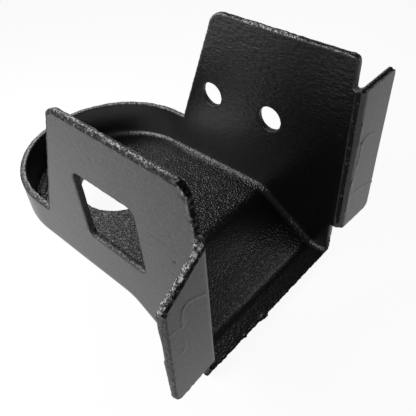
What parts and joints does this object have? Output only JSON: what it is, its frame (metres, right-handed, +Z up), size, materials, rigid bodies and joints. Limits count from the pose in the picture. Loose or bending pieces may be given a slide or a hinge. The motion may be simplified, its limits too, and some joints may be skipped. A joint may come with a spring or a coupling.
{
  "type": "u bracket",
  "caption": "Folded sheet-steel channel bracket with a round-ended pan floor, a stepped-down front lip, outward front flanges, a drilled wall and a windowed wall.",
  "frame": {"origin": "centre of the pan hole on the upper face of the floor", "axes": "+X forward to the open front and the flange faces, +Y across to the wall drilled for bolts, +Z up along the pan hole's axis"},
  "size_m": [0.165, 0.1452, 0.1158],
  "materials": {
    "black_paint": "satin black paint over pressed steel, fine orange peel"
  },
  "bodies": {
    "root": {"u_bracket": "black_paint"}
  },
  "joints": []
}
